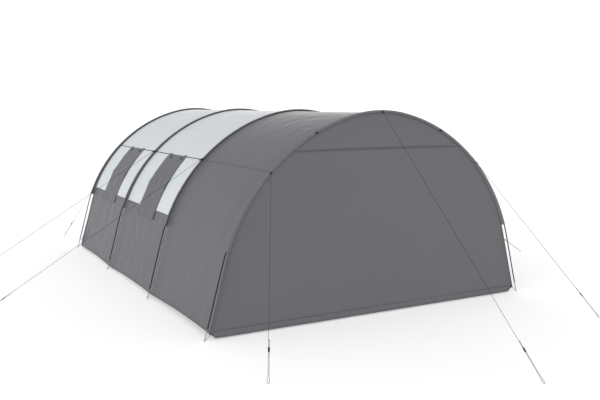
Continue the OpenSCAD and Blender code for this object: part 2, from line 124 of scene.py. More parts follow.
def gap_at(s):
    """Distance from the pole's line in to the cloth, at signed distance s from the top."""
    turn = hoop_angle(abs(s)) - CROWN_ANGLE
    return CROWN_GAP if turn <= 0 else SIDE_GAP - (SIDE_GAP - CROWN_GAP) * math.cos(turn)


def shell(s, y, off):
    x, z = hoop_point(s, off)
    return Vector((x, y, z))


def outward(s):
    """Direction away from the tent at signed distance s from the hoop's top."""
    return shell(s, 0, 1.0) - shell(s, 0, 0.0)


def lerp(a, b, t):
    return a + (b - a) * t


def smooth(t):
    t = max(0.0, min(1.0, t))
    return t * t * (3 - 2 * t)


def spread(a, b, step):
    """Evenly spaced values from a to b, about step apart."""
    n = max(1, round(abs(b - a) / step))
    return [lerp(a, b, i / n) for i in range(n + 1)]


def stations(marks, step):
    """Evenly spaced values that hit every mark."""
    out = [marks[0]]
    for a, b in zip(marks, marks[1:]):
        out += spread(a, b, step)[1:]
    return out


# ---------------------------------------------------------------- camera and light
def make_camera():
    data = bpy.data.cameras.new("camera")
    data.sensor_width = 36
    data.lens = 44.785
    data.clip_end = 300
    camera = bpy.data.objects.new("camera", data)
    camera.location = (-4.392, -8.878, 2.178)
    camera.rotation_euler = Euler((math.radians(90 - 7.30), 0, math.radians(-28.82)))
    bpy.context.scene.collection.objects.link(camera)
    bpy.context.scene.camera = camera


def make_light():
    scene = bpy.context.scene
    scene.view_settings.view_transform = "Standard"
    world = bpy.data.worlds.new("studio")
    scene.world = world
    world.use_nodes = True
    nodes, links = world.node_tree.nodes, world.node_tree.links
    back = nodes["Background"]
    back.inputs["Strength"].default_value = 1.08
    coord = nodes.new("ShaderNodeTexCoord")
    split = nodes.new("ShaderNodeSeparateXYZ")
    ramp = nodes.new("ShaderNodeValToRGB")
    wall, ceiling = (1.06, 1.06, 1.06, 1), (0.45, 0.45, 0.45, 1)
    ramp.color_ramp.elements[0].color = wall
    ramp.color_ramp.elements[1].position = 0.9
    ramp.color_ramp.elements[1].color = ceiling
    ramp.color_ramp.elements.new(0.25).color = wall
    links.new(coord.outputs["Generated"], split.inputs[0])
    links.new(split.outputs["Z"], ramp.inputs[0])
    links.new(ramp.outputs["Color"], back.inputs["Color"])
    lamp = bpy.data.lights.new("key", "SUN")
    lamp.energy = 0.75
    lamp.angle = math.radians(40)
    key = bpy.data.objects.new("key", lamp)
    key.rotation_euler = Vector((0.80, 0.40, -0.32)).to_track_quat("-Z", "Y").to_euler()
    scene.collection.objects.link(key)


def make_floor():
    size = 60
    mesh = bpy.data.meshes.new("floor")
    mesh.from_pydata(
        [(-size, -size, 0), (size, -size, 0), (size, size, 0), (-size, size, 0)],
        [],
        [(0, 1, 2, 3)],
    )
    floor = bpy.data.objects.new("floor", mesh)
    bpy.context.scene.collection.objects.link(floor)
    material = bpy.data.materials.new("floor")
    material.use_nodes = True
    bsdf = material.node_tree.nodes["Principled BSDF"]
    bsdf.inputs["Base Color"].default_value = (0.85, 0.85, 0.85, 1)
    bsdf.inputs["Roughness"].default_value = 0.9
    bsdf.inputs["Emission Color"].default_value = (1, 1, 1, 1)
    bsdf.inputs["Emission Strength"].default_value = 0.38
    mesh.materials.append(material)


# ---------------------------------------------------------------- materials
THREAD_PITCH = 0.0009


def new_material(name, rough, specular=0.5):
    material = bpy.data.materials.new(name)
    material.use_nodes = True
    bsdf = material.node_tree.nodes["Principled BSDF"]
    bsdf.inputs["Roughness"].default_value = rough
    bsdf.inputs["Specular IOR Level"].default_value = specular
    return material, material.node_tree, bsdf


def node(tree, kind, **values):
    n = tree.nodes.new(kind)
    for key, value in values.items():
        if key in n.inputs:
            n.inputs[key].default_value = value
        else:
            setattr(n, key, value)
    return n


def mapped(tree, source, scale):
    """Coordinates from UV (metres of flat cloth) or Object, scaled."""
    coord = tree.nodes.new("ShaderNodeTexCoord")
    mapping = tree.nodes.new("ShaderNodeMapping")
    mapping.inputs["Scale"].default_value = scale
    tree.links.new(coord.outputs[source], mapping.inputs["Vector"])
    return mapping.outputs["Vector"]


def noise_at(tree, source, scale, **values):
    """Noise over UV or Object coordinates, each scaled."""
    n = node(tree, "ShaderNodeTexNoise", **{"Scale": 1.0, **values})
    tree.links.new(mapped(tree, source, scale), n.inputs["Vector"])
    return n.outputs["Fac"]


def bands_at(tree, source, scale, direction):
    """Even bands across a direction of UV or Object coordinates, each scaled."""
    n = node(tree, "ShaderNodeTexWave", bands_direction=direction, Scale=1.0)
    tree.links.new(mapped(tree, source, scale), n.inputs["Vector"])
    return n.outputs["Fac"]


def bricks_at_uv(tree, mortar, smooth_by, width, height):
    """Lines between bricks laid straight over UV coordinates, in metres."""
    n = node(
        tree, "ShaderNodeTexBrick", Scale=1.0, offset=0.0,
        **{"Mortar Size": mortar, "Mortar Smooth": smooth_by, "Brick Width": width, "Row Height": height},
    )
    tree.links.new(mapped(tree, "UV", (1, 1, 1)), n.inputs["Vector"])
    return n.outputs["Fac"]


def math_node(tree, operation, a, b):
    n = tree.nodes.new("ShaderNodeMath")
    n.operation = operation
    for socket, value in zip(n.inputs, (a, b)):
        if hasattr(value, "links") or hasattr(value, "is_linked"):
            tree.links.new(value, socket)
        else:
            socket.default_value = value
    return n.outputs[0]


def shade(tree, factor, dark, light, top=None):
    """A colour between two others, by a factor from 0 to 1, or top at a factor of 1."""
    ramp = tree.nodes.new("ShaderNodeValToRGB")
    ramp.color_ramp.elements[0].color = (*dark, 1)
    ramp.color_ramp.elements[1].color = (*(top or light), 1)
    if top:
        ramp.color_ramp.elements.new(0.8).color = (*light, 1)
    tree.links.new(factor, ramp.inputs[0])
    return ramp.outputs["Color"]


def bump(tree, height, distance, strength, below=None):
    n = tree.nodes.new("ShaderNodeBump")
    n.inputs["Distance"].default_value = distance
    n.inputs["Strength"].default_value = strength
    tree.links.new(height, n.inputs["Height"])
    if below is not None:
        tree.links.new(below, n.inputs["Normal"])
    return n.outputs["Normal"]


def weave_height(tree):
    """Over-and-under threads of a plain weave."""
    turns = math.pi / 10 / (2 * THREAD_PITCH)
    across, along = (bands_at(tree, "UV", (turns, turns, 1), direction) for direction in "XY")
    return math_node(tree, "MULTIPLY", across, along)


def fabric(
    name, colour, spread_by=0.05, crease=1.0, sheen=0.8,
    streak=(11, 2.2, 1), pull=0.7, crinkles=(9, 7, 1), thread_colour=None,
):
    """Coated woven polyester: weave, soft crinkle, pulled streaks, folds and slight unevenness."""
    material, tree, bsdf = new_material(name, 0.55, 0.4)
    bsdf.inputs["Sheen Weight"].default_value = sheen
    bsdf.inputs["Sheen Roughness"].default_value = 0.2
    links = tree.links
    cloud = noise_at(tree, "UV", (1.7, 1.1, 1), Detail=4.0, Roughness=0.55)
    thread = weave_height(tree)
    tone = math_node(tree, "ADD", math_node(tree, "MULTIPLY", thread, 0.18), cloud)
    tone = math_node(tree, "MULTIPLY", tone, 0.85)
    low = [c * (1 - spread_by) for c in colour]
    high = [min(1.0, c * (1 + spread_by)) for c in colour]
    stitches = stitch_rows(tree) if thread_colour else None
    if stitches is not None:
        tone = math_node(tree, "MAXIMUM", math_node(tree, "MULTIPLY", tone, 0.8), stitches)
    links.new(shade(tree, tone, low, high, thread_colour), bsdf.inputs["Base Color"])

    crinkle = noise_at(tree, "UV", crinkles, Detail=5.0, Roughness=0.6)
    folds = bricks_at_uv(tree, 0.006, 1.0, 0.29, 0.44)
    streaks = noise_at(tree, "UV", streak, Detail=4.0, Roughness=0.65, Distortion=1.1)
    patches = noise_at(tree, "UV", (1.9, 1.3, 1), Detail=2.0)
    gate = math_node(tree, "MULTIPLY", math_node(tree, "SUBTRACT", patches, 0.40), 4.0)
    tree.nodes[-1].use_clamp = True
    pulled = math_node(tree, "MULTIPLY", streaks, gate)
    normal = bump(tree, folds, 0.0012 * crease, 0.5)
    normal = bump(tree, crinkle, 0.006 * crease, 0.45, normal)
    normal = bump(tree, pulled, 0.011 * pull, 0.8, normal)
    normal = bump(tree, thread, 0.00015, 0.35, normal)
    if stitches is not None:
        normal = bump(tree, stitches, 0.0003, 0.8, normal)
    links.new(normal, bsdf.inputs["Normal"])
    return material


def stitch_rows(tree):
    """Two rows of stitches along a tape whose UV is (along, across) in metres."""
    split = tree.nodes.new("ShaderNodeSeparateXYZ")
    tree.links.new(mapped(tree, "UV", (1, 1, 1)), split.inputs[0])
    row = math_node(tree, "COMPARE", math_node(tree, "ABSOLUTE", split.outputs["Y"], 0.0), 0.0019)
    tree.nodes[-1].inputs[2].default_value = 0.0004
    part = math_node(tree, "FRACT", math_node(tree, "MULTIPLY", split.outputs["X"], 260.0), 0.0)
    dash = math_node(tree, "LESS_THAN", part, 0.72)
    return math_node(tree, "MULTIPLY", row, dash)


def webbing(name, colour):
    """Narrow woven tape with a ribbed face."""
    material, tree, bsdf = new_material(name, 0.75, 0.3)
    rib = bands_at(tree, "Object", (180, 180, 180), "Y")
    grain = noise_at(tree, "Object", (1, 1, 1), Scale=400.0, Detail=2.0)
    low = [c * 0.75 for c in colour]
    tree.links.new(shade(tree, rib, low, colour), bsdf.inputs["Base Color"])
    normal = bump(tree, rib, 0.0004, 0.6)
    tree.links.new(bump(tree, grain, 0.0002, 0.4, normal), bsdf.inputs["Normal"])
    return material


def hard(name, colour, rough, metallic=0.0, specular=0.5):
    """Moulded plastic, fibreglass or plated metal, with fine grain and handling marks."""
    material, tree, bsdf = new_material(name, rough, specular)
    bsdf.inputs["Metallic"].default_value = metallic
    marks = noise_at(tree, "Object", (1, 1, 1), Scale=22.0, Detail=6.0, Roughness=0.7)
    fine = noise_at(tree, "Object", (1, 1, 1), Scale=300.0, Detail=2.0)
    low, high = [c * 0.88 for c in colour], [c * 1.12 for c in colour]
    tree.links.new(shade(tree, marks, low, high), bsdf.inputs["Base Color"])
    tree.links.new(bump(tree, fine, 0.00005, 0.5), bsdf.inputs["Normal"])
    return material


def braid(name, colour):
    """Braided cord: two crossing spirals of strands."""
    material, tree, bsdf = new_material(name, 0.8, 0.25)
    one = bands_at(tree, "Object", (120, 120, 120), "DIAGONAL")
    two = bands_at(tree, "Object", (-120, 120, -120), "DIAGONAL")
    both = math_node(tree, "MAXIMUM", one, two)
    low = [c * 0.8 for c in colour]
    tree.links.new(shade(tree, both, low, colour), bsdf.inputs["Base Color"])
    tree.links.new(bump(tree, both, 0.0004, 0.5), bsdf.inputs["Normal"])
    return material


def window_sheet(name):
    """Fine black insect mesh: open squares between threads."""
    material, tree, bsdf = new_material(name, 0.7, 0.3)
    threads = bricks_at_uv(tree, 0.0004, 0.1, 0.0022, 0.0022)
    colour = shade(tree, threads, (0.11, 0.115, 0.12), (0.03, 0.03, 0.032))
    tree.links.new(colour, bsdf.inputs["Base Color"])
    tree.links.new(bump(tree, threads, 0.0003, 0.6), bsdf.inputs["Normal"])
    return material


def make_materials():
    dark = (0.112, 0.110, 0.124)
    return {
        "dark": fabric("dark_cloth", dark, crease=1.2, pull=0.45),
        "crown": fabric("crown_cloth", dark, crease=1.5, streak=(6, 13, 1), pull=0.6, crinkles=(12, 14, 1)),
        "light": fabric("light_cloth", (0.62, 0.655, 0.68), spread_by=0.03, crease=1.5),
        # gable_cloth is the dark wall cloth painted a little lighter: painted light standing in for the
        # light that falls on the end walls, doors and mud flaps
        "gable": fabric("gable_cloth", (0.119, 0.117, 0.130), crease=0.5, pull=0.35, sheen=0.5),
        "sleeve": fabric("sleeve_cloth", (0.125, 0.123, 0.133), spread_by=0.08, crease=0.5),
        # The front hoop's sleeve is the same cloth as the other sleeves, painted lighter: painted light for
        # the brighter look of the front hoop
        "front_sleeve": fabric("front_sleeve_cloth", (0.135, 0.133, 0.143), crease=0.5),
        "curtain": fabric(
            "curtain_cloth", (0.101, 0.098, 0.111), crease=2.2, sheen=0.6, pull=0.1, crinkles=(10, 24, 1)
        ),
        "seam": fabric(
            "seam_tape", (0.048, 0.048, 0.050), spread_by=0.1, crease=0.3, sheen=0.05,
            thread_colour=(0.10, 0.10, 0.10),
        ),
        "dark_seam": fabric(
            "dark_seam_tape", (0.096, 0.096, 0.094), spread_by=0.1, crease=0.3, sheen=0.2,
            thread_colour=(0.16, 0.16, 0.16),
        ),
        "pane": window_sheet("window_mesh"),
        "pole": hard("pole_fibreglass", (0.009, 0.009, 0.010), 0.6, specular=0.3),
        "metal": hard("pin_metal", (0.20, 0.20, 0.205), 0.4, 0.9),
        "zinc": hard("zinc_plate", (0.80, 0.80, 0.81), 0.5, 0.3),
        "elastic": hard("elastic", (0.7, 0.7, 0.7), 0.7),
        "black": hard("black_plastic", (0.012, 0.012, 0.013), 0.45),
        "zip_metal": hard("zip_metal", (0.03, 0.03, 0.032), 0.3, 0.6),
        "webbing": webbing("black_webbing", (0.02, 0.02, 0.021)),
        "strap": webbing("strap_webbing", (0.60, 0.60, 0.60)),
        "rope": braid("guy_cord", (0.045, 0.045, 0.047)),
        "zip": webbing("zip_tape", (0.03, 0.03, 0.032)),
    }


# ---------------------------------------------------------------- mesh helpers
def make_object(name, verts, faces, material, uvs=None, flat=False):
    mesh = bpy.data.meshes.new(name)
    mesh.from_pydata([tuple(v) for v in verts], [], faces)
    mesh.materials.append(material)
    if uvs is not None:
        layer = mesh.uv_layers.new(name="cloth")
        for loop in mesh.loops:
            layer.data[loop.index].uv = uvs[loop.vertex_index]
    for polygon in mesh.polygons:
        polygon.use_smooth = not flat
    mesh.update()
    obj = bpy.data.objects.new(name, mesh)
    bpy.context.scene.collection.objects.link(obj)
    return obj


def place(obj, body, slot, *nodes):
    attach(obj, body)
    if nodes:
        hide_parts(*nodes)


def thicken(obj, thickness=CLOTH_T, offset=-1):
    modifier = obj.modifiers.new("thickness", "SOLIDIFY")
    modifier.thickness = thickness
    modifier.offset = offset
    modifier.use_even_offset = False
    return obj


def grid(name, us, vs, point, material, skip=None, uv=None, thickness=CLOTH_T):
    """A sheet over us x vs. point(u, v) is its outer side, and uv is metres of flat cloth."""
    verts, uvs, faces = [], [], []
    for v in vs:
        for u in us:
            verts.append(point(u, v))
            uvs.append(uv(u, v) if uv else (u, v))
    n = len(us)
    for j in range(len(vs) - 1):
        for i in range(n - 1):
            if skip and skip((us[i] + us[i + 1]) / 2, (vs[j] + vs[j + 1]) / 2):
                continue
            a = j * n + i
            faces.append((a, a + 1, a + n + 1, a + n))
    used = sorted({k for f in faces for k in f})
    new = {k: i for i, k in enumerate(used)}
    obj = make_object(
        name,
        [verts[k] for k in used],
        [tuple(new[k] for k in f) for f in faces],
        material,
        [uvs[k] for k in used],
    )
    return thicken(obj, thickness)


def closed_tube(points, radius, sides=8):
    """Vertices and faces of a round tube on a closed loop of points."""
    n = len(points)
    verts, faces = [], []
    up = None
    for i, p in enumerate(points):
        t = (points[(i + 1) % n] - points[i - 1]).normalized()
        if up is None:
            up = t.orthogonal().normalized()
        up = (up - t * up.dot(t)).normalized()
        side = t.cross(up)
        for k in range(sides):
            a = 2 * math.pi * k / sides
            verts.append(p + radius * (math.cos(a) * up + math.sin(a) * side))
    for i in range(n):
        j = (i + 1) % n
        for k in range(sides):
            m = (k + 1) % sides
            faces.append((i * sides + k, i * sides + m, j * sides + m, j * sides + k))
    return verts, faces


def joined(parts):
    """Several (vertices, faces) as one."""
    verts, faces = [], []
    for v, f in parts:
        base = len(verts)
        verts += v
        faces += [tuple(k + base for k in face) for face in f]
    return verts, faces


def along(origin, direction):
    """Matrix that puts +Z along direction, +Y level, at origin."""
    d = Vector(direction).normalized()
    turn = Matrix.Rotation(math.atan2(d.y, d.x), 4, "Z") @ Matrix.Rotation(math.acos(d.z), 4, "Y")
    return Matrix.Translation(origin) @ turn


def box_parts(low, high):
    (x0, y0, z0), (x1, y1, z1) = low, high
    outline = [(x0, y0), (x1, y0), (x1, y1), (x0, y1)]
    verts = [Vector((x, y, z)) for z in (z0, z1) for x, y in outline]
    faces = [(k, (k + 1) % 4, (k + 1) % 4 + 4, k + 4) for k in range(4)]
    faces += [(3, 2, 1, 0), (4, 5, 6, 7)]
    return verts, faces


# ---------------------------------------------------------------- guy ropes
ROPE_R = 0.00175
ANCHOR_OFF = 0.0145
RING_R = 0.006
TAB_LEN = 0.012
ROPE_START = TAB_LEN + 2 * RING_R + 0.008
ROPE_END_Z = 0.004
STRAND_GAP = 0.008
TAIL_LEN = 0.075
KNOT_GAP = 0.0053
KNOT_R = 0.00425
# Loop at the peg's place: (sideways, back from the rope's end).
PEG_LOOP = [
    (0, 0.060), (-0.002, 0.045), (-0.005, 0.030), (-0.006, 0.018), (-0.004, 0.007),
    (0, 0.002), (0.004, 0), (0.008, 0.002), (0.012, 0.007), (0.014, 0.018),
    (0.013, 0.030), (0.010, 0.045), (0.008, 0.060),
]
# Each guy: side, hoop, ground x, ground y beyond the hoop, slider's share of the length.
GUYS = {
    "front_apex": (0, 0, 0, -2.260, 0.90),
    "front_left": (-1, 0, -1.900, -1.215, 0.86),
    "front_right": (1, 0, 1.900, -1.215, 0.86),
    "second_left": (-1, 1, -3.780, 0, 0.87),
    "second_right": (1, 1, 3.780, 0, 0.87),
    "third_left": (-1, 2, -3.780, 0, 0.87),
    "third_right": (1, 2, 3.780, 0, 0.87),
    "rear_left": (-1, 3, -1.900, 1.215, 0.86),
    "rear_right": (1, 3, 1.900, 1.215, 0.86),
    "rear_apex": (0, 3, 0, 2.260, 0.90),
}


def guy_line(guy):
    """Matrix along a guy from its hoop, and the rope's straight length."""
    side, hoop, gx, gy, _ = guy
    end = {0: -1, 3: 1}.get(hoop, 0)
    x, z = hoop_point(side * GUY_S, 0 if end else ANCHOR_OFF)
    start = Vector((x, HOOP_Y[hoop] + end * ANCHOR_OFF, z))
    ground = Vector((gx, HOOP_Y[hoop] + gy, ROPE_END_Z))
    return along(start, ground - start), (ground - start).length - ROPE_START


def knot_parts(matrix):
    """A tight overhand knot, as a closed tube on a trefoil."""
    size = KNOT_R / 3
    loop = []
    for i in range(48):
        t = 2 * math.pi * i / 48
        p = Vector((
            math.sin(t) + 2 * math.sin(2 * t),
            math.cos(t) - 2 * math.cos(2 * t),
            -1.3 * math.sin(3 * t),
        ))
        loop.append(matrix @ (p * size))
    return closed_tube(loop, ROPE_R * 0.95)


def make_guy(key, guy, mats):
    line, length = guy_line(guy)
    route = [(0, length * k / 8) for k in range(8)]
    route += [(x, length - back) for x, back in PEG_LOOP]
    slider_share = guy[-1]
    tail = slider_share * length - TAIL_LEN
    route += [(STRAND_GAP, lerp(length - 0.060, tail, k / 5)) for k in range(1, 6)]
    points = [line @ Vector((0, x, ROPE_START + z)) for x, z in route]
    curve = bpy.data.curves.new(f"rope_{key}", "CURVE")
    curve.dimensions = "3D"
    curve.bevel_depth = ROPE_R
    curve.bevel_resolution = 3
    curve.use_fill_caps = True
    spline = curve.splines.new("POLY")
    spline.points.add(len(points) - 1)
    for point, p in zip(spline.points, points):
        point.co = (*p, 1)
    curve.materials.append(mats["rope"])
    rope = bpy.data.objects.new(f"rope_{key}", curve)
    bpy.context.scene.collection.objects.link(rope)
    place(rope, "tent", "rope", f"guy_rope_{key}")

    top = line @ Matrix.Translation((0, 0, ROPE_START - 0.004))
    end = line @ Matrix.Translation((0, STRAND_GAP, ROPE_START + tail - KNOT_GAP))
    bight = [
        (0, 0.004), (0.0046, -0.001), (0.0048, -0.005), (0.0022, -0.0078),
        (-0.0022, -0.0078), (-0.0048, -0.005), (-0.0046, -0.001),
    ]
    parts = [
        knot_parts(top),
        knot_parts(end),
        closed_tube([top @ Vector((0, *p)) for p in bight], ROPE_R),
    ]
    knots = make_object(f"knots_{key}", *joined(parts), mats["rope"])
    place(knots, "tent", "rope")
    total = sum((Vector(b) - Vector(a)).length for a, b in zip(points, points[1:]))
    tuple(points[0])


# ---------------------------------------------------------------- tent shell
def ripple(x, y, z=0.0):
    return noise.noise(Vector((x, y, z)))


def crease(x, y, z):
    """Sharp ridges, as where packed cloth was folded."""
    return (1 - min(1.0, 2.2 * abs(ripple(x, y, z)))) ** 3


def sag(s, y):
    """How far the cloth moves out from its tight line: tucks near hoops, waves between them."""
    bay = min(2, max(0, int((y + 1.5 * BAY) / BAY)))
    t = (y - HOOP_Y[bay]) / BAY
    edge = min(t, 1 - t) * BAY
    hold = smooth(edge / 0.07)
    a = abs(s)
    foot = smooth((a - 1.0) / 1.2)
    crown = 1 - smooth((a - 0.35) / 0.75)
    seed = 5.3 * bay + (11 if s < 0 else 0)
    out = -4 * t * (1 - t) * lerp(0.004, 0.009, foot)
    out += hold * 0.0035 * ripple(y * 1.5 + seed, s * 0.8, 3.1)
    out += 0.0012 * ripple(s * 16, y * 2.2, 9 + seed) * math.exp(-edge / 0.14) * smooth(edge / 0.02)
    out += hold * foot * 0.0030 * ripple(y * 5.5 + 0.8 * s, s * 0.7, 5.5 + seed)
    out += hold * foot * 0.0012 * crease(y * 4.2 + 1.3 * s, s * 1.1, seed)
    streak = 1.3 if bay == 0 else 1.0
    warp = 0.6 * ripple(y * 1.7, s * 1.7, 1.5)
    out += streak * hold * crown * 0.0020 * ripple(s * 8 + 2 * warp, y * 2.4, 7.7 + seed)
    out += streak * hold * crown * 0.0014 * crease(s * 6 + warp, y * 2.6 - warp, 2.2 + seed)
    out += hold * 0.0010 * crease(s * 2.7 + y, y * 3.3 - s, 4.4 + seed)
    if bay == 2 and s < 0:
        dx, dy = HOOP_LEN - 0.05 - a, HOOP_Y[3] - 0.03 - y
        far = math.hypot(dx, dy)
        fan = math.sin(8 * math.atan2(dx, dy + 1e-6) + 2.5 * ripple(dx * 3, dy * 3, 1))
        out += 0.015 * fan * smooth(far / 0.10) * math.exp(-far / 0.30) * smooth(dx / 0.05)
    return out


def cloth_point(s, y, lift=0.0):
    return shell(s, y, -gap_at(s) + sag(s, y) + lift)


HEM_Z = [0.062, 0.044, 0.026, 0.030]


def hem_height(y):
    """Height of the walls' hem, which lifts a little between hoops."""
    t = (y + 1.5 * BAY) / BAY
    i = min(2, max(0, int(t)))
    return lerp(HEM_Z[i], HEM_Z[i + 1], t - i) + 0.012 * math.sin(math.pi * (t - i))


def hem_s(y):
    return HOOP_LEN - (hem_height(y) + POLE_GAP * math.cos(LEG_ANGLE)) / math.sin(LEG_ANGLE)


EDGE = 0.0012
SEAM_GAP = 0.004


def bay_poles(bay):
    return [f"{HOOPS[bay]}_hoop_pole", f"{HOOPS[bay + 1]}_hoop_pole"]


def make_roof(bay, marks, material, slot, skip=None):
    """A bay's roof, from the first to the last of marks, which are distances along the hoop."""
    y0, y1 = HOOP_Y[bay] + EDGE, HOOP_Y[bay + 1] - EDGE
    middle = (y0 + y1) / 2
    ys = stations([y0, middle - WINDOW_W / 2, middle + WINDOW_W / 2, y1], 0.022)
    obj = grid(
        f"{BAYS[bay]}_roof_cloth", ys, stations(marks, 0.024),
        lambda y, s: cloth_point(s, y), material, skip=skip,
    )
    place(obj, "tent", slot, f"{BAYS[bay]}_bay_roof")
    bay_poles(bay)


def in_window(bay):
    middle = (HOOP_Y[bay] + HOOP_Y[bay + 1]) / 2

    def test(y, s):
        return abs(y - middle) < WINDOW_W / 2 and WINDOW_TOP < abs(s) < WINDOW_BOTTOM

    return test


def make_wall(bay, top, side, word, material):
    """A bay's side, from the distance top along the hoop down to the hem."""
    def s_of(v, y):
        return side * lerp(top, hem_s(y), v)

    vs = spread(0.0, 1.0, 1 / 70 if bay == 0 else 1 / 38)
    obj = grid(
        f"{BAYS[bay]}_wall_{word}_cloth", spread(HOOP_Y[bay] + EDGE, HOOP_Y[bay + 1] - EDGE, 0.022),
        vs if side > 0 else vs[::-1],
        lambda y, v: cloth_point(s_of(v, y), y), material, uv=lambda y, v: (y, s_of(v, y)),
    )
    place(obj, "tent", "dark_fabric", f"{BAYS[bay]}_bay_wall_{word}")
    flat = (BAY - 2 * EDGE, hem_s(0) - top)
    bay_poles(bay)


def make_bays(mats):
    make_roof(0, [-SEAM_S, -0.6, 0.6, SEAM_S], mats["crown"], "dark_fabric")
    marks = [-WALL_S, -WINDOW_BOTTOM, -WINDOW_TOP, WINDOW_TOP, WINDOW_BOTTOM, WALL_S]
    for bay in (1, 2):
        make_roof(
            bay, marks, mats["light"], "light_fabric", skip=in_window(bay),
        )
    for bay, top in ((0, SEAM_S), (1, WALL_S), (2, WALL_S)):
        for side, word in SIDES:
            make_wall(bay, top, side, word, mats["dark"])


def strip(name, route, half_w, lift, material, slot):
    """A narrow tape. Each station of route is (point, sideways, outward, distance)."""
    verts, uvs, faces = [], [], []
    for p, side, out, dist in route:
        for w, h in ((-1, 0.0), (-0.6, 1.0), (0.6, 1.0), (1, 0.0)):
            verts.append(p + side * half_w * w + out * (lift * h + 0.0002))
            uvs.append((dist, half_w * w))
    for i in range(len(route) - 1):
        for k in range(3):
            a = 4 * i + k
            faces.append((a, a + 1, a + 5, a + 4))
    obj = make_object(name, verts, faces, material, uvs)
    thicken(obj, TAPE_T)
    place(obj, "tent", slot)


def route_of(count, station):
    """count steps of station(t), with t from 0 to 1."""
    return [station(i / count) for i in range(count + 1)]


def surface_route(s0, y0, s1, y1):
    """A straight route over the tent's cloth."""
    length = math.hypot(s1 - s0, y1 - y0)

    def on_cloth(t):
        return cloth_point(lerp(s0, s1, t), lerp(y0, y1, t))

    def station(t):
        p, out = on_cloth(t), outward(lerp(s0, s1, t))
        ahead = (on_cloth(t + 0.002) - p).normalized()
        return p, out.cross(ahead).normalized(), out, t * length

    return route_of(max(2, int(length / 0.03)), station)


def bay_route(bay, s):
    """A route from a bay's first hoop to its second."""
    return surface_route(s, HOOP_Y[bay] + SEAM_GAP, s, HOOP_Y[bay + 1] - SEAM_GAP)


def make_seams(mats):
    for bay in range(3):
        for side, word in SIDES:
            key = "dark_seam" if bay == 0 else "seam"
            strip(
                f"{BAYS[bay]}_long_seam_{word}", bay_route(bay, side * SEAM_S), 0.006, 0.0016,
                mats[key], "sleeve_fabric",
            )
            if bay:
                strip(
                    f"{BAYS[bay]}_wall_seam_{word}", bay_route(bay, side * (WALL_S + 0.006)),
                    0.007, 0.0012, mats["dark"], "dark_fabric",
                )


def hoop_route(y, s0, s1):
    """A route along a hoop, on the cloth at y."""
    def station(t):
        s = lerp(s0, s1, t)
        return cloth_point(s, y), Vector((0, 1, 0)), outward(s), s

    return route_of(max(2, int(abs(s1 - s0) / 0.03)), station)


def make_hoop_seams(mats):
    """Where bays are sewn to each other below the sleeves, and the walls' hems."""
    for hoop in (1, 2):
        for side, word in SIDES:
            ends = sorted((side * (SLEEVE_S - 0.03), side * (hem_s(HOOP_Y[hoop]) - 0.002)))
            strip(
                f"hoop_{hoop}_wall_seam_{word}", hoop_route(HOOP_Y[hoop], *ends), 0.006, 0.0006,
                mats["dark"], "dark_fabric",
            )
    # On the front and rear hoops, a near-black tape on the roof side of the sleeve: partly the seam at the
    # sleeve's base, partly painted shade where the sleeve meets the roof
    for hoop, turn in ((0, 1), (3, -1)):
        for side, word in SIDES:
            ends = sorted((side * 0.02, side * (hem_s(HOOP_Y[hoop]) - 0.004)))
            strip(
                f"hoop_{hoop}_side_seam_{word}",
                hoop_route(HOOP_Y[hoop] + turn * 0.016, *ends), 0.0032, 0.0016,
                mats["seam"], "sleeve_fabric",
            )
    for bay in range(3):
        for side, word in SIDES:
            y0, y1 = HOOP_Y[bay] + SEAM_GAP, HOOP_Y[bay + 1] - SEAM_GAP

            def station(t):
                y = lerp(y0, y1, t)
                s = side * (hem_s(y) - 0.011)
                out = outward(s)
                return cloth_point(s, y), out.cross(Vector((0, 1, 0))), out, t * (y1 - y0)

            strip(
                f"{BAYS[bay]}_hem_{word}", route_of(60, station), 0.010, 0.0012,
                mats["dark_seam"], "dark_fabric",
            )


# ---------------------------------------------------------------- gables
GABLE_OFF = -0.0015
GABLE_FOOT = 0.050
MUD_FLAP_L = 0.064


def outline_point(off, above):
    """(x, z) on the cloth tunnel's right side: the lowest point for which above(x, z) holds."""
    low, high = 0.0, HOOP_LEN
    for _ in range(40):
        mid = (low + high) / 2
        if above(*hoop_point(mid, off - gap_at(mid))):
            low = mid
        else:
            high = mid
    return hoop_point(low, off - gap_at(low))


def wide(z, off=GABLE_OFF):
    """Half the width of a gable wall at height z."""
    return outline_point(off, lambda x, height: height > z)[0]


def height_at(x):
    """Height of a gable wall at distance x from its middle."""
    return outline_point(GABLE_OFF, lambda across, z: across < x)[1]


def edge_turn(x, z):
    """How far a gable's edge turns out towards its hoop, where it is sewn to the sleeve."""
    rx, rz = abs(x) - SIDE_CENTRE.x, z - SIDE_CENTRE.y
    turn = math.atan2(rx, rz)
    if turn < CROWN_ANGLE:
        inside = CROWN_RADIUS - CROWN_GAP - math.hypot(x, z - CROWN_CENTRE.y)
    elif turn < LEG_ANGLE:
        s = CROWN_LEN + SIDE_RADIUS * (turn - CROWN_ANGLE)
        inside = SIDE_RADIUS - gap_at(s) - math.hypot(rx, rz)
    else:
        inside = (wide(z, 0.0) - abs(x)) * math.sin(LEG_ANGLE)
    return 0.019 * (1 - smooth(inside / 0.030)) * smooth((z - 0.05) / 0.1)


def gable_point(x, z, end):
    """Point on a gable wall. end is -1 at the front and 1 at the rear."""
    top = HOOP_HEIGHT - CROWN_GAP - 0.004
    fade = smooth((wide(z) - abs(x)) / 0.15) if z < top else 0
    fade *= smooth((top - z) / 0.12)
    wave = 0.006 * ripple(x * 0.8 + 3, z * 0.7, 11 * end) + 0.0012 * ripple(x * 6, z * 1.2, 2 + end)
    wave += 0.0012 * crease(x * 1.9 + 0.3 * ripple(x, z * 0.8, 3), z * 0.5, 3 * end)
    return Vector((x, end * (GABLE_Y + edge_turn(x, z) + fade * (wave - 0.005)), z))


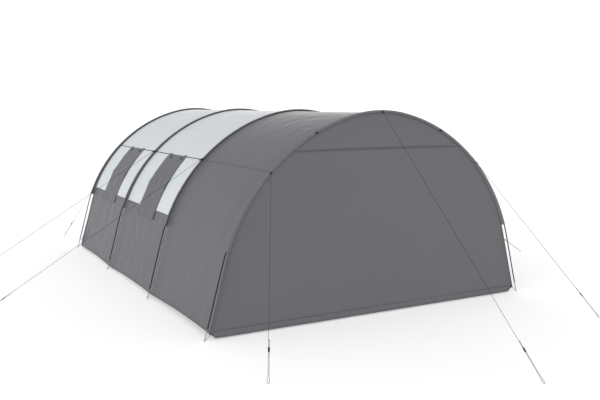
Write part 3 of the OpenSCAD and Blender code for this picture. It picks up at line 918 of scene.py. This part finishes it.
def gable_rows(name, z0, z1, x_from, x_to, end, material):
    """Cloth between two heights, with x_from(z) and x_to(z) as its sides."""
    width = x_to(z0) - x_from(z0)
    rim = 0.036 / width
    us = stations([0, rim, 1 - rim, 1], 0.03 / width)
    fine = [rim * k / 6 for k in range(1, 6)]
    us = sorted(set(us + fine + [1 - f for f in fine]))
    zs = spread(z0, z1, 0.03)
    if end > 0:
        us = us[::-1]
    return grid(
        name, us, zs,
        lambda u, z: gable_point(lerp(x_from(z), x_to(z), u), z, end),
        material, uv=lambda u, z: (lerp(x_from(z), x_to(z), u), z),
    )


def gable_cap(name, z0, end, material):
    """Cloth between a level seam and the crown."""
    def height(x, v):
        return lerp(z0, max(z0 + 0.0005, height_at(abs(x))), v)

    xs = spread(-wide(z0), wide(z0), 0.03)
    return grid(
        name, xs[::-1] if end > 0 else xs,
        [0, 0.12, 0.24, 0.36, 0.48, 0.6, 0.7, 0.8, 0.86, 0.9, 0.93, 0.95, 0.97, 0.985, 1],
        lambda x, v: gable_point(x, height(x, v), end), material,
        uv=lambda x, v: (x, height(x, v)),
    )


def cap_sheet(z0):
    w, h = 2 * wide(z0), HOOP_HEIGHT - CROWN_GAP - z0


def gable_seam(name, end, z, mats):
    w = wide(z) - 0.004

    def station(t):
        x = lerp(-w, w, t)
        return gable_point(x, z, end), Vector((0, 0, -end)), Vector((0, end, 0)), x

    strip(name, route_of(80, station), 0.0021, 0.0005, mats["dark_seam"], "sleeve_fabric")


def gable_piping(name, end, mats):
    """Bound edge where a gable wall is sewn to the roof."""
    limit = HOOP_LEN - 0.075

    def station(t):
        s = lerp(-limit, limit, t) * end
        side = outward(s)
        out = (Vector((0, end, 0)) + side * 0.6).normalized()
        return shell(s, end * (GABLE_Y + 0.0175), GABLE_OFF - 0.004 - gap_at(s)), -side, out, s

    strip(name, route_of(200, station), 0.0035, 0.0020, mats["dark_seam"], "sleeve_fabric")


def mud_flap(name, end, mats):
    """Flap along the foot of a gable, with its corners cut back."""
    foot = wide(0.03)

    def outline(x):
        cut = smooth((foot - 0.012 - abs(x)) / 0.06)
        return lerp(0.060, 0.016, cut)

    def point(x, v):
        z = lerp(FLAP_TOP, outline(x), v)
        wave = 0.005 * v * ripple(x * 2.2, 4 + end) + 0.0015 * v * ripple(x * 11, 8)
        return Vector((x, end * (GABLE_Y + 0.0003 + 0.007 * v * v + wave), z))

    xs = spread(-foot, foot, 0.02)
    if end < 0:
        xs = xs[::-1]
    obj = grid(name, xs, spread(0, 1, 0.2), point, mats["gable"], uv=lambda x, v: (x, v * MUD_FLAP_L))
    place(obj, "tent", "dark_fabric")

    def station(t):
        x = lerp(-foot + 0.01, foot - 0.01, t)
        p = point(x, 0.93)
        return p + Vector((0, end * 0.0006, 0)), Vector((0, 0, -end)), Vector((0, end, 0)), x

    strip(f"{name}_hem", route_of(160, station), 0.0060, 0.0009, mats["gable"], "dark_fabric")
    return obj


def make_front_gable(mats):
    lower = gable_rows(
        "front_gable_cloth", GABLE_FOOT, GABLE_SEAM_Z, lambda z: -wide(z), wide, -1, mats["gable"]
    )
    place(lower, "tent", "dark_fabric", "front_end_wall")
    2 * wide(GABLE_FOOT)
    cap = gable_cap("front_gable_cap", GABLE_SEAM_Z, -1, mats["gable"])
    place(cap, "tent", "dark_fabric")
    cap_sheet(GABLE_SEAM_Z)
    gable_seam("front_gable_seam", -1, GABLE_SEAM_Z, mats)
    gable_piping("front_gable_piping", -1, mats)
    flap = mud_flap("front_mud_flap", -1, mats)
    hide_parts("mud_flaps")


def make_rear_gable(mats):
    edge = DOOR_HALF_W
    sides = [
        ("rear_gable_left", lambda z: -wide(z), lambda z: -edge),
        ("rear_gable_right", lambda z: edge, wide),
    ]
    for name, x_from, x_to in sides:
        obj = gable_rows(name, GABLE_FOOT, DOOR_TOP, x_from, x_to, 1, mats["gable"])
        place(obj, "tent", "dark_fabric")
        if name.endswith("left"):
            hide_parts("rear_end_wall")
    sill = gable_rows(
        "rear_gable_sill", GABLE_FOOT, DOOR_SILL, lambda z: -edge, lambda z: edge, 1, mats["gable"]
    )
    place(sill, "tent", "dark_fabric")
    cap = gable_cap("rear_gable_cap", DOOR_TOP, 1, mats["gable"])
    place(cap, "tent", "dark_fabric")
    cap_sheet(DOOR_TOP)
    gable_seam("rear_gable_seam", 1, DOOR_TOP + 0.012, mats)
    gable_piping("rear_gable_piping", 1, mats)
    mud_flap("rear_mud_flap", 1, mats)


# ---------------------------------------------------------------- door
FLAP_GAP = 0.004
TOOTH_H = 0.0012
TOOTH_PITCH = 0.0030
TOOTH_REACH = 0.0010  # past the middle, between the other side's teeth
FACING_Y = (-0.0110, -0.0098)


def door_box(side, xs, ys, zs):
    """A box with its x on the given side of the middle, and its y from the gable's face."""
    x0, x1 = sorted(side * x for x in xs)
    return box_parts((x0, GABLE_Y + ys[0], zs[0]), (x1, GABLE_Y + ys[1], zs[1]))


def make_door_flap(side, word, mats):
    body = f"door_{word}"
    x0, x1 = FLAP_GAP / 2, DOOR_HALF_W - FLAP_GAP
    z0, z1 = DOOR_SILL + FLAP_GAP, DOOR_TOP - FLAP_GAP
    us, zs = spread(x0, x1, 0.03), spread(z0, z1, 0.03)

    def point(u, z):
        hold = smooth((u - x0) / 0.08) * smooth((x1 - u) / 0.05)
        hold *= smooth((z1 - z) / 0.08) * smooth((z - z0) / 0.05)
        wave = 0.007 * ripple(u * 2.4 * side, z * 0.9, 21) + 0.002 * ripple(u * 9, z * 1.6, 5 * side)
        return Vector((side * u, GABLE_Y - 0.0004 + hold * wave, z))

    panel = grid(
        f"{body}_cloth", us if side < 0 else us[::-1], zs, point, mats["gable"],
        uv=lambda u, z: (side * u, z),
    )
    place(panel, body, "dark_fabric", f"door_flap_{word}")

    facings = [
        ((DOOR_HALF_W - 0.022, DOOR_HALF_W + 0.012), (z0 - 0.010, z1 + 0.010)),
        ((0.004, DOOR_HALF_W + 0.012), (z1 - 0.012, z1 + 0.016)),
    ]
    for i, (across, up) in enumerate(facings):
        parts = door_box(side, across, FACING_Y, up)
        facing = make_object(f"{body}_facing_{i}", *parts, mats["gable"], flat=True)
        place(facing, "tent", "dark_fabric")

    parts = [
        door_box(side, (x0, x0 + 0.007), (0.0003, 0.0011), (z0, z1)),
        door_box(side, (x0 + 0.006, x0 + 0.012), (0.0003, 0.0009), (z0, z1)),
    ]
    z = z0 + (0 if side < 0 else TOOTH_PITCH / 2)
    while z < z1 - TOOTH_H:
        parts.append(door_box(side, (-TOOTH_REACH, 0.0048), (0.0004, 0.0016), (z, z + TOOTH_H)))
        z += TOOTH_PITCH
    tape = make_object(f"zip_{word}_teeth", *joined(parts), mats["zip"], flat=True)
    place(tape, body, "zip_tape", f"zip_tape_{word}")


# ---------------------------------------------------------------- sleeves
FLANGE_POINTS = 3


def sleeve_section(base):
    """Half of a sleeve's section, (out from the pole, along the tent), from flange to top."""
    half = [
        (base + 0.0006, 0.0125), (base + 0.0012, 0.0105), (base + 0.0016, 0.0055),
        (base + 0.0030, 0.0034), (lerp(base, -SLEEVE_R, 0.6), 0.0027), (-SLEEVE_R * 0.98, 0.0033),
    ]
    for degrees in (35, 60, 85, 110, 135, 158):
        a = math.radians(degrees)
        half.append((-SLEEVE_R * math.cos(a), SLEEVE_R * math.sin(a)))
    return half


def make_sleeve(key, hoop, mats):
    """Cloth channel round the pole, on a fin sewn to the roof by two flanges."""
    ss = spread(-SLEEVE_S, SLEEVE_S, 0.02)
    verts, uvs, faces = [], [], []
    for s in ss:
        half = sleeve_section(-gap_at(s) + 0.0002)
        loop = half + [(SLEEVE_R, 0.0)] + [(r, -w) for r, w in reversed(half)]
        pucker = 1 + 0.09 * ripple(s * 21, hoop * 3.3) + 0.05 * ripple(s * 60, hoop)
        for k, (r, w) in enumerate(loop):
            free = smooth((r + gap_at(s)) / 0.008)
            lean = 0.0012 * free * ripple(s * 9, hoop * 2.1 + 5)
            lump = free * (pucker - 1) * 0.006 * (1 if r > 0 else 0)
            y = HOOP_Y[hoop] + w * lerp(1, pucker, free) + lean
            off = r + lump
            if min(k, len(loop) - 1 - k) < FLANGE_POINTS:
                off += sag(s, y)
                if (hoop == 0 and y < HOOP_Y[0]) or (hoop == 3 and y > HOOP_Y[3]):
                    y = HOOP_Y[hoop] + (y - HOOP_Y[hoop]) * 0.3
            verts.append(shell(s, y, off))
            uvs.append((k * 0.004, s))
    n = len(verts) // len(ss)
    for i in range(len(ss) - 1):
        for k in range(n - 1):
            a = i * n + k
            faces.append((a, a + n, a + n + 1, a + 1))
    # The front hoop takes the copy of the sleeve cloth painted lighter, as painted light
    material = mats["front_sleeve"] if hoop == 0 else mats["sleeve"]
    obj = make_object(f"{key}_sleeve_cloth", verts, faces, material, uvs)
    thicken(obj)
    place(obj, "tent", "sleeve_fabric", f"{key}_pole_sleeve")


def make_guy_bands(mats):
    """Webbing wrapped round a middle hoop's sleeve, where its guy's tab is sewn on."""
    radius, half_length = 0.0115, 0.014
    angles = [math.radians(d) for d in range(-150, 151, 30)]
    for hoop in (1, 2):
        for side, word in SIDES:
            ss = spread(side * GUY_S - half_length, side * GUY_S + half_length, 0.007)
            verts = [
                shell(s, HOOP_Y[hoop] + radius * math.sin(a), radius * math.cos(a))
                for s in ss for a in angles
            ]
            n = len(angles)
            faces = [
                (i * n + k, i * n + k + 1, (i + 1) * n + k + 1, (i + 1) * n + k)
                for i in range(len(ss) - 1) for k in range(n - 1)
            ]
            band = make_object(f"guy_band_{hoop}_{word}", verts, faces, mats["webbing"])
            thicken(band, TAPE_T, 1)
            place(band, "tent", "guy_webbing")


# ---------------------------------------------------------------- windows and curtains
def make_window(bay, side, word, mats):
    """Mesh behind a window's opening, and the binding sewn round the opening."""
    name = f"{BAYS[bay]}_window_{word}"
    middle = (HOOP_Y[bay] + HOOP_Y[bay + 1]) / 2
    hem = 0.014
    ys = spread(middle - WINDOW_W / 2 - hem, middle + WINDOW_W / 2 + hem, 0.03)
    vs = spread(WINDOW_TOP - hem, WINDOW_BOTTOM + hem, 0.03)
    obj = grid(
        name, ys, vs if side > 0 else vs[::-1],
        lambda y, v: cloth_point(side * v, y, -0.0016), mats["pane"], thickness=0.0005,
    )
    place(obj, "tent", "window_mesh")
    if bay == 1 and side < 0:
        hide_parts("window_panes")
    y0, y1 = middle - WINDOW_W / 2 - 0.004, middle + WINDOW_W / 2 + 0.004
    s0, s1 = side * (WINDOW_TOP - 0.004), side * (WINDOW_BOTTOM + 0.004)
    runs = [(s0, y0, s0, y1), (s1, y0, s1, y1), (s0, y0, s1, y0), (s0, y1, s1, y1)]
    for i, run in enumerate(runs):
        strip(
            f"{name}_binding_{i}", surface_route(*run), 0.008, 0.0014, mats["dark"], "dark_fabric",
        )


def curtain_off(u, v, seed):
    """How far a curtain stands off the cloth, u across (0..1) and v down (0..1)."""
    fold = 0.50 + 0.02 * ripple(u * 2, seed)
    x = v / fold if v < fold else (v - fold) / (1 - fold)
    bow = (0.013 if v < fold * 1.5 else 0.005) * (2 * x - 1) ** 2
    out = 0.003 + bow * (smooth(v / 0.25) if v < fold / 2 else 1)
    out += 0.0035 * smooth((v - 0.80) / 0.2) * (0.35 + 0.65 * abs(u - 0.45) * 2)
    lie = 1 - 0.7 * smooth(v * 5 - 3.7)
    out += 0.0025 * lie * smooth(v / 0.3) * (1 + ripple(u * 3.1 + seed, v * 1.7, seed))
    out += 0.0014 * ripple(u * 8, v * 10, seed + 4) * smooth(v / 0.05)
    out += 0.0016 * crease(u * 3.0 + 2 * v, v * 4.0 + seed, seed + 8) * smooth(v / 0.05)
    out += 0.0014 * crease(u * 5.0 - v, v * 7.0, seed + 3) * smooth(v / 0.05)
    return out


def curtain_top(u):
    """How far a curtain's top edge rises above the seam: an ear at each corner."""
    ears = math.exp(-(((u - 0.08) / 0.10) ** 2)) + 0.8 * math.exp(-(((u - 0.93) / 0.09) ** 2))
    return 0.008 + 0.016 * ears


def flat_curtain(u, v):
    return u * CURTAIN_W, v * CURTAIN_L


def make_curtain(bay, side, word, mats):
    body = f"curtain_{BAYS[bay]}_{word}"
    seed = bay * 2 + side
    middle = (HOOP_Y[bay] + HOOP_Y[bay + 1]) / 2

    def point(u, v):
        lean = 0.035 * (1 - v) if bay == 1 else 0.0
        y = middle + CURTAIN_W * (u - 0.5) + lean + 0.004 * ripple(v * 3, seed)
        top = SEAM_S - curtain_top(u) * (1 - smooth(v / 0.12))
        s = top + (SEAM_S + CURTAIN_L - top) * v
        return cloth_point(side * s, y, curtain_off(u, v, seed))

    def lifted(height):
        return lambda u, v: point(u, v) + height * Vector((side, 0, 0.6))

    vs = spread(0, 1, 0.016)
    vs = vs if side > 0 else vs[::-1]
    obj = grid(f"{body}_cloth", spread(0, 1, 0.025), vs, point, mats["curtain"], uv=flat_curtain)
    place(obj, body, "dark_fabric", body)
    for edge, (w0, w1) in enumerate(((0.0, 0.016), (0.984, 1.0))):
        hem = grid(
            f"{body}_hem_{edge}", spread(w0, w1, 0.008), vs, lifted(0.0008),
            mats["dark_seam"], uv=flat_curtain,
        )
        place(hem, body, "dark_fabric")
    for k, across in enumerate(TOGGLE_Y):
        u0, v0 = 0.5 + across / CURTAIN_W, TOGGLE_DROP / CURTAIN_L
        patch = grid(
            f"{body}_toggle_patch_{k}", [u0 - PATCH_U, u0, u0 + PATCH_U],
            [v0 - side * PATCH_V, v0, v0 + side * PATCH_V], lifted(0.0009),
            mats["webbing"], uv=flat_curtain,
        )
        place(patch, body, "guy_webbing")


# ---------------------------------------------------------------- feet
def make_strap(hoop, side, word, mats):
    """Webbing from inside the wall's foot down to the link that the pole's pin stands in."""
    x_in, z_in = hoop_point(HOOP_LEN - 0.080, -POLE_GAP - 0.003)
    x_out = HALF_WIDTH - 0.018
    profile = [(x_in, z_in)]
    profile += [(lerp(x_in, x_out, t), lerp(z_in, 0.019, t ** 0.8)) for t in (0.25, 0.5, 0.75, 1.0)]
    verts, uvs, faces = [], [], []
    for k, (x, z) in enumerate(profile):
        for w in (-0.008, 0.008):
            verts.append(Vector((side * x, HOOP_Y[hoop] + w, z)))
            uvs.append((w, k * 0.02))
    for k in range(len(profile) - 1):
        a = 2 * k
        faces.append((a, a + 1, a + 3, a + 2))
    obj = make_object(f"foot_strap_{hoop}_{word}", verts, faces, mats["strap"], uvs)
    thicken(obj, 0.0015, 0)
    place(obj, "tent", "strap_webbing")
    if hoop == 0 and side < 0:
        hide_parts("foot_straps")


# ---------------------------------------------------------------- CAD nodes that stay
def dress_nodes(mats):
    looks = {
        "hoop_pole": "pole", "pole_spigots": "metal", "pole_end_tips": "metal",
        "shock_cords": "elastic", "foot_links": "zinc", "zip_slider": "zip_metal",
        "toggles": "black", "guy_points": "webbing", "guy_slider": "black",
    }
    for name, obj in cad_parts.items():
        for word, key in looks.items():
            if word in name:
                obj.data.materials.clear()
                obj.data.materials.append(mats[key])


make_camera()
make_light()
make_floor()
materials = make_materials()
for guy_key, guy_values in GUYS.items():
    make_guy(guy_key, guy_values, materials)
make_bays(materials)
make_seams(materials)
make_hoop_seams(materials)
make_front_gable(materials)
make_rear_gable(materials)
for door_side, door_word in SIDES:
    make_door_flap(door_side, door_word, materials)
for hoop_index, hoop_key in enumerate(HOOPS):
    make_sleeve(hoop_key, hoop_index, materials)
make_guy_bands(materials)
for make_piece, places in ((make_window, (1, 2)), (make_curtain, (1, 2)), (make_strap, range(4))):
    for place_index in places:
        for piece_side, piece_word in SIDES:
            make_piece(place_index, piece_side, piece_word, materials)
dress_nodes(materials)
